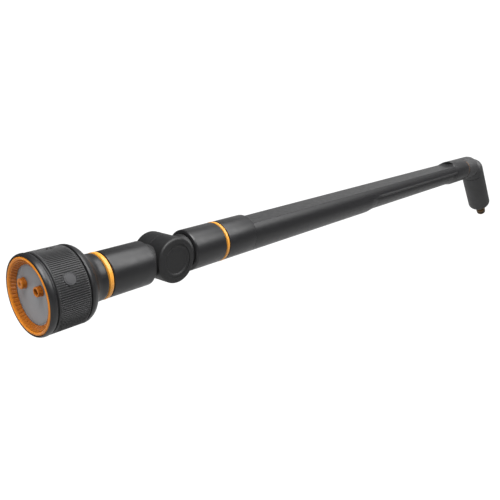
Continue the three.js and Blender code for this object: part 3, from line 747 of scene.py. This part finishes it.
def knuckle_half(neck_end, plug_end, socket_depth):
    """The near half of the barrel, with its neck along +X, which widens towards its tube.
    Across the barrel, stations count outwards from the middle plane."""
    round_off = 0.3
    flare = curve([(18, NECK), (20, NECK + 0.7), (22.5, NECK + 1.2), (neck_end - round_off, NECK_END)])
    neck = turned("neck", [
        (12, 0), (12, 11.4), (17.4, NECK), *flare, (neck_end, NECK_END - round_off),
        (neck_end, PLUG), (plug_end, PLUG), (plug_end, 0),
    ], Matrix.Identity(4))
    other_barrel = rod(-30, HALF_GAP, BARREL + 0.5, NEAR_SIDE, SMOOTH)
    half = combine(neck, [other_barrel], "DIFFERENCE")
    barrel = turned("barrel", rounded([
        (HALF_GAP, 0), (HALF_GAP, BARREL, 0.15), (RIM, BARREL, 2.4), (RIM, 0),
    ]), NEAR_SIDE)
    combine(half, [barrel], "UNION")
    spindle_depth = 20
    washer_depth = 0.8
    cutters = [
        rod(CAP_FLOOR, RIM + 1, CAP + 0.08, NEAR_SIDE, SMOOTH),
        rod(-1, spindle_depth, SPINDLE + GAP, NEAR_SIDE, SMOOTH),
        rod(-1, washer_depth, WASHER + 0.5, NEAR_SIDE, SMOOTH),
        rod(0, plug_end + 1, CHANNEL, Matrix.Translation((0, -CHANNEL_SIDE * MM, 0))),
    ]
    if socket_depth:
        cutters.append(rod(plug_end - socket_depth, plug_end + 1, PIPE_SOCKET, Matrix.Identity(4)))
    return combine(half, cutters, "DIFFERENCE")


def rear_knuckle():
    """The near half, whose neck holds the water tube's end in a socket."""
    front = span("rear_tube")[0]
    rear = span("rear_knuckle")[1]
    half = knuckle_half(front - PIVOT - GAP, rear - PIVOT, socket_depth=16)
    half.matrix_world = AT_PIVOT
    return half


def front_knuckle():
    """The far half, turned to face the head."""
    front = span("front_knuckle")[0]
    rear = span("front_tube")[1]
    half = knuckle_half(PIVOT - rear - GAP, PIVOT - front, socket_depth=0)
    half.matrix_world = AT_PIVOT @ HALF_TURN
    return half


def knuckle_cap(side):
    """The disc that closes a barrel end, sunk inside its raised edge. side turns it to its end."""
    high = RIM - 0.4
    floor_height = high - 1
    low = RIM - 2.2
    outline = rounded([
        (floor_height, 0), (floor_height, CAP - 3.6, 0.8), (high, CAP - 2, 1.4), (high, CAP, 0.1),
        (low, CAP), (low, 0),
    ])
    return turned("knuckle_cap", outline, AT_PIVOT @ side @ NEAR_SIDE)


def rear_tube():
    """The tube behind the knuckle: it opens out from a narrower mouth to its full width."""
    front, rear = span("rear_tube")
    shoulder = span("mid_accent_ring")[0] - GAP
    mouth = 18.6
    wide = 20.4
    wide_from, full_from = 165.2, 166.6
    outline = rounded([
        (front, BORE), (front, mouth, 0.8), (wide_from, wide, 0.8), (full_from, TUBE, 1),
        (shoulder, TUBE, 0.9), (shoulder, SPIGOT), (rear, SPIGOT, 0.4), (rear, BORE),
    ])
    return turned("rear_tube", outline)


# Handle -----------------------------------------------------------------------------------------


def collar(node):
    """A round collar at one end of the flat-topped tube."""
    front, rear = span(node)
    outline = rounded([
        (front, SOCKET), (front, TUBE, 0.5), (rear, TUBE, 0.15), (rear, SOCKET),
    ])
    return turned(node, outline)


def flat_reach(radius, flat, angle):
    """The flat-topped section's reach from the axis, its two top edges slightly rounded."""
    soft = 0.22
    up = math.sin(angle)
    if up * radius < flat * 0.6:
        return radius
    top = flat / up
    return -soft * math.log(math.exp(-radius / soft) + math.exp(-top / soft))


CUT_FRONT = span("lower_cover")[0] - GAP
EDGE_Z = (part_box("lower_cover")[1].z - AXIS_Z) / MM + GAP  # the open shell's lower edge
BODY_REAR = span("rear_collar")[0] - GAP
RAMP = (CUT_FRONT - 12, CUT_FRONT + 13)
REAR_RAMP = (BODY_REAR - 16, BODY_REAR)
LEDGE_BEAD = 1.3
LEDGE_FADE = 24
LEDGE_END = BODY_REAR - 8


def underside(station):
    """How far the underside has come in from the tube's radius at a station."""
    inset = smoothstep(*RAMP, station) - 0.85 * smoothstep(*REAR_RAMP, station)
    return (TUBE - COVER) * inset


def flat_height(station):
    """The flat top's height, which rises towards the rear collar."""
    return FLAT + (TUBE - FLAT) * 0.5 * smoothstep(BODY_REAR - 7, BODY_REAR + 1, station)


def angles_over_top(start, end, edge):
    """Angles from start to end, closer together near the flat's two edges."""
    step = math.radians(2.5)
    count = math.ceil((end - start) / step)
    even = [start + (end - start) * k / count for k in range(count + 1)]
    near = [centre + math.radians(d) for centre in (edge, math.pi - edge)
            for d in (-1.6, -0.8, -0.4, 0, 0.4, 0.8, 1.6)]
    return sorted(set(even + [a for a in near if start < a < end]))


def on_circle(radius, angle):
    """The (y, z) point at an angle that counts up from +Y."""
    return radius * math.cos(angle), radius * math.sin(angle)


def main_shell():
    """The flat-topped tube. Behind the cut-out it is an open channel with a rounded lower edge."""
    front, rear = span("main_shell")
    body_front = span("front_collar")[1] + 0.1
    edge = math.asin(FLAT / TUBE)
    around = angles_over_top(-math.pi / 2, 1.5 * math.pi, edge)[:-1]
    below = math.asin(EDGE_Z / TUBE)

    def outer(station):
        sink = underside(station)
        points = []
        for angle in around:
            reach = flat_reach(TUBE, FLAT, angle)
            height = reach * math.sin(angle)
            reach -= sink * (1 - smoothstep(EDGE_Z - 1.6, EDGE_Z + 0.4, height))
            points.append(on_circle(reach, angle))
        return points

    def inner(station):
        return [on_circle(flat_reach(TUBE - WALL, FLAT - WALL, a), a) for a in around]

    stations = [body_front, *between(RAMP[0], CUT_FRONT, 8)]
    shell = swept("main_shell", stations, outer, inner)

    fillet = 1.1
    open_angles = angles_over_top(below, math.pi - below, edge)
    round_off = arc((0, 0), fillet, 0, -90, 6)[1:]

    start = math.asin((EDGE_Z + fillet) / TUBE)
    end = math.pi - start

    def lower_edge(side):
        at = Vector(on_circle(TUBE, start)) - Vector((fillet, 0))
        return [(side * (at.x + y), at.y + z) for y, z in round_off]

    def lip(station, height):
        """How far the shell's lower edge stands out, as a narrow bead over the ledge."""
        along = smoothstep(CUT_FRONT, CUT_FRONT + LEDGE_FADE, station)
        along *= 1 - smoothstep(LEDGE_END, BODY_REAR, station)
        return LEDGE_BEAD * along * (1 - smoothstep(EDGE_Z + 1.4, EDGE_Z + 3.4, height))

    def open_outer(station):
        over = [start, *[a for a in open_angles if start + 1e-6 < a < end - 1e-6], end]
        points = [on_circle(flat_reach(TUBE, flat_height(station), a), a) for a in over]
        line = list(reversed(lower_edge(1))) + points + lower_edge(-1)
        return [(y + math.copysign(lip(station, z), y), z) for y, z in line]

    def open_inner(station):
        low = math.asin(EDGE_Z / (TUBE - WALL))
        angles = between(low, math.pi - low, len(open_outer(station)) - 1)
        return [on_circle(flat_reach(TUBE - WALL, FLAT - WALL, a), a) for a in angles]

    stations = [
        CUT_FRONT - 1, *between(CUT_FRONT, CUT_FRONT + LEDGE_FADE, 8),
        *between(LEDGE_END, BODY_REAR, 8),
    ]
    channel = swept("channel", stations, open_outer, open_inner, False)
    spigots = [
        turned("spigot", [(first, BORE), (first, SPIGOT), (last, SPIGOT), (last, BORE)])
        for first, last in ((front, body_front + 2), (BODY_REAR - 2, rear))
    ]
    return combine(shell, [channel, *spigots], "UNION")


def lower_cover():
    """The inset trough under the handle, its front end flush with the tapering tube."""
    front, rear = span("lower_cover")
    top = EDGE_Z - GAP
    wall = 2.2

    def line(radius):
        start = math.asin(top / radius)
        return [on_circle(radius, angle) for angle in between(-math.pi - start, start, 72)]

    def outer(station):
        return line(TUBE - underside(station))

    def inner(station):
        return line(COVER - wall)

    stations = between(front, RAMP[1], 8) + between(REAR_RAMP[0], rear, 8)
    return swept("lower_cover", stations, outer, inner, False)


# Elbow and grip ---------------------------------------------------------------------------------

ELBOW_BALL = 930
ELBOW_BORE = 8.5
GRIP_BALL = 9.5
GRIP_SPLIT = 20
GRIP_END = 117
PLUG_COLLAR = 10.2


def elbow():
    """Two round-ended tubes that meet at an angle, as one moulding."""
    front = span("elbow")[0]
    shoulder = span("rear_accent_ring")[1] + 0.4
    corner = rounded([(shoulder, SPIGOT), (shoulder, TUBE, 0.5), (ELBOW_BALL, TUBE)])[1:-1]
    level = turned("elbow", [
        (front, 0), (front, SPIGOT), *corner, *arc((ELBOW_BALL, 0), TUBE, 90, 0, 24)[:-1],
        (ELBOW_BALL + TUBE, 0),
    ])
    spigot_end = GRIP_SPLIT + 22
    angled = turned("angled", [
        (GRIP_BALL - TUBE, 0), *arc((GRIP_BALL, 0), TUBE, 180, 90, 24)[1:],
        (GRIP_SPLIT - 0.5, TUBE), (GRIP_SPLIT, TUBE - 0.5), (GRIP_SPLIT, SPIGOT),
        (spigot_end, SPIGOT), (spigot_end, 0),
    ], ON_GRIP)
    combine(level, [angled], "UNION")
    pipe_seat = spigot_end - 14
    tube_seat_floor = 888
    tube_seat = rod(front - 1, tube_seat_floor, PIPE_SOCKET)
    bore_front = tube_seat_floor - 8
    level_bore = turned("bore", [
        (bore_front, 0), (bore_front, ELBOW_BORE), *arc((ELBOW_BALL, 0), ELBOW_BORE, 90, 0, 8)[:-1],
        (ELBOW_BALL + ELBOW_BORE, 0),
    ], sides=48)
    angled_bore = turned("bore", [
        (GRIP_BALL - ELBOW_BORE, 0), *arc((GRIP_BALL, 0), ELBOW_BORE, 180, 90, 8)[1:],
        (pipe_seat, ELBOW_BORE), (pipe_seat, PIPE_SOCKET), (spigot_end + 1, PIPE_SOCKET),
        (spigot_end + 1, 0),
    ], ON_GRIP, 48)
    return combine(level, [tube_seat, level_bore, angled_bore], "DIFFERENCE")


def grip_sleeve():
    """The round hand grip, closed at its end but for the plug's hole."""
    front = GRIP_SPLIT + GAP
    end_wall = GRIP_END - 7
    hole = PLUG_COLLAR + 0.35
    outline = rounded([
        (front, SOCKET), (front, TUBE, 0.7), (GRIP_END, TUBE, 5.4), (GRIP_END, hole, 0.4),
        (end_wall, hole), (end_wall, SOCKET),
    ], steps=12)
    return turned("grip_sleeve", outline, ON_GRIP)


def hose_plug():
    """The brass plug: a pipe socket and flange inside, a snap groove, a seal groove and a tip."""
    outer = 8.75
    bore = 5.5
    body = 12.5
    flange = 15.5
    front = 84
    flange_front, flange_rear = 104.5, GRIP_END - 7.3
    collar_end = 124.6
    snap_front, snap_rear = 128, 132.5
    snap_floor = 7.3
    seal_front, seal_rear = 138.6, 141.4
    seal_floor = 7.4
    tip_front, end = 144.7, 146
    socket_floor = 98
    outline = rounded([
        (front, PIPE_SOCKET), (front, body, 0.4), (flange_front, body), (flange_front, flange, 0.4),
        (flange_rear, flange), (flange_rear, PLUG_COLLAR), (collar_end, PLUG_COLLAR, 0.5),
        (collar_end + 1.4, outer, 0.5), (snap_front, outer, 0.4), (snap_front + 0.8, snap_floor, 0.4),
        (snap_rear - 1, snap_floor, 0.5), (snap_rear, outer, 0.5), (seal_front, outer, 0.2),
        (seal_front, seal_floor), (seal_rear, seal_floor), (seal_rear, outer - 0.15, 0.2),
        (tip_front, outer - 0.35, 1), (end, outer - 1.35, 0.4), (end, bore, 0.3),
        (socket_floor + 2, bore), (socket_floor, PIPE_SOCKET),
    ], steps=4)
    return turned("hose_plug", outline, ON_GRIP, 80)


def plug_o_ring():
    """The rubber ring in the plug's seal groove."""
    middle = (140, 8.1)
    half_thickness = 0.8
    section = arc(middle, half_thickness, 0, 345, 23)
    return turned("plug_o_ring", section, ON_GRIP, 80)


# Everything that shows --------------------------------------------------------------------------

show("bezel_ring", bezel_ring())
show("face_ring", face_ring(), 40)
show("spray_plate", spray_plate())
show("jet_nozzle", jet_nozzle())
show("mist_nozzle", mist_nozzle())
show("grip_ring", grip_ring(), 50)
show("badge_pad", badge_pad())
show("index_mark", index_mark())
show("head_housing", head_housing())
show("front_accent_ring", accent_ring("front_accent_ring"))
show("front_tube", front_tube())
show("front_knuckle", front_knuckle())
show("far_knuckle_cap", knuckle_cap(HALF_TURN))
show("rear_knuckle", rear_knuckle())
show("near_knuckle_cap", knuckle_cap(Matrix.Identity(4)))
show("rear_tube", rear_tube())
show("mid_accent_ring", accent_ring("mid_accent_ring"))
show("front_collar", collar("front_collar"))
show("main_shell", main_shell())
show("lower_cover", lower_cover())
show("rear_collar", collar("rear_collar"))
show("rear_accent_ring", accent_ring("rear_accent_ring"))
show("elbow", elbow())
show("grip_sleeve", grip_sleeve())
show("hose_plug", hose_plug())
show("plug_o_ring", plug_o_ring())

for name, node in frame["nodes"].items():
    if not node.hide_render:
        node.data.materials.clear()
        node.data.materials.append(MATERIALS[SLOTS[name]])

# Studio -----------------------------------------------------------------------------------------


def camera_sees_white(tree, rest):
    """Mixes plain white, for what the camera sees directly, with the shader that lights the wand."""
    path = add_node(tree, "ShaderNodeLightPath")
    white = add_node(tree, "ShaderNodeBackground" if rest.type == "BACKGROUND" else "ShaderNodeEmission",
                     Color=(1, 1, 1, 1), Strength=1.1)
    mixed = add_node(tree, "ShaderNodeMixShader", Fac=path.outputs["Is Camera Ray"])
    tree.links.new(rest.outputs[0], mixed.inputs[1])
    tree.links.new(white.outputs[0], mixed.inputs[2])
    return mixed


def floor():
    """A wide pale floor well below the wand, its colour painted darker towards the near side of the
    handle: painted shade in place of the light falling off across it.
    """
    size = 40
    drop = 0.35
    shape = bmesh.new()
    bmesh.ops.create_grid(shape, x_segments=8, y_segments=8, size=size)
    made = to_object("floor", shape, Matrix.Translation((0, 0, CAD_BOX[0].z - drop)))
    material, tree, shader = new_material("floor_white")
    place = add_node(tree, "ShaderNodeTexCoord").outputs["Object"]
    # painted shade: the floor's colour grades from dark to light across it, standing in for uneven light
    # on it
    lighter_towards = (-1, 1, 0)
    dark, light = 0.06, 0.38
    across_floor = add_node(tree, "ShaderNodeVectorMath", {"operation": "DOT_PRODUCT"})
    tree.links.new(place, across_floor.inputs[0])
    across_floor.inputs[1].default_value = lighter_towards
    shade = add_node(tree, "ShaderNodeMapRange", Value=across_floor.outputs["Value"],
                     From_Min=-2.2, From_Max=0.3, To_Min=dark, To_Max=light)
    tree.links.new(shade.outputs["Result"], shader.inputs["Base Color"])
    shader.inputs["Roughness"].default_value = 0.9
    mixed = camera_sees_white(tree, shader)
    tree.links.new(mixed.outputs[0], tree.nodes["Material Output"].inputs["Surface"])
    made.data.materials.append(material)


def lobe(tree, direction, towards, spread, strength):
    """A round soft light in the room: full within spread[1] degrees of a way, gone by spread[0]."""
    facing = add_node(tree, "ShaderNodeVectorMath", {"operation": "DOT_PRODUCT"})
    tree.links.new(direction, facing.inputs[0])
    facing.inputs[1].default_value = Vector(towards).normalized()
    made = add_node(tree, "ShaderNodeMapRange", {"interpolation_type": "SMOOTHSTEP"},
                    Value=facing.outputs["Value"], From_Min=math.cos(math.radians(spread[0])),
                    From_Max=math.cos(math.radians(spread[1])), To_Min=0, To_Max=strength)
    return made.outputs["Result"]


ROOM = 0.07
SOFTBOXES = [  # the way to each, the degrees where it is gone and where it is full, its strength
    ((0.54, -0.56, 0.63), (23, 8), 5.6),
    ((0.48, -0.06, 0.87), (22, 6), 4.2),
    ((0.88, 0.42, 0.22), (38, 8), 0.45),
]


def studio_world():
    """White to the camera; to the wand, a dim room with softboxes behind it."""
    world = bpy.data.worlds.new("studio")
    bpy.context.scene.world = world
    world.use_nodes = True
    tree = world.node_tree
    tree.nodes.clear()
    direction = add_node(tree, "ShaderNodeTexCoord").outputs["Generated"]
    total = None
    for towards, spread, strength in SOFTBOXES:
        light = lobe(tree, direction, towards, spread, strength)
        summed = add_node(tree, "ShaderNodeMath", {"operation": "ADD"})
        tree.links.new(light, summed.inputs[0])
        if total:
            tree.links.new(total, summed.inputs[1])
        else:
            summed.inputs[1].default_value = ROOM
        total = summed.outputs[0]
    soft = add_node(tree, "ShaderNodeBackground", Color=(1, 1, 1, 1), Strength=total)
    mixed = camera_sees_white(tree, soft)
    output = add_node(tree, "ShaderNodeOutputWorld")
    tree.links.new(mixed.outputs[0], output.inputs["Surface"])


def sun(name, towards, strength, angle):
    """A soft distant light that comes from one way."""
    light = bpy.data.lights.new(name, "SUN")
    light.energy = strength
    light.angle = math.radians(angle)
    made = bpy.data.objects.new(name, light)
    made.rotation_mode = "QUATERNION"
    made.rotation_quaternion = Vector(towards).to_track_quat("Z", "Y")
    bpy.context.scene.collection.objects.link(made)


def camera():
    """Looks along the wand from just beyond the spray face, a little above it."""
    data = bpy.data.cameras.new("camera")
    data.sensor_width = 36
    data.lens = 40.51
    data.shift_x = -0.001
    data.shift_y = 0.001
    data.clip_start = 0.02
    data.clip_end = 200
    made = bpy.data.objects.new("camera", data)
    made.location = (-1.1987, -0.3968, 0.2110)
    yaw = math.radians(40.35)
    pitch = math.radians(16.47)
    made.rotation_euler = (math.pi / 2 - pitch, 0, yaw - math.pi / 2)
    bpy.context.scene.collection.objects.link(made)
    bpy.context.scene.camera = made


floor()
studio_world()
sun("overhead", (-0.15, -0.28, 0.95), 4.0, 45)
camera()
bpy.context.scene.view_settings.view_transform = "Standard"
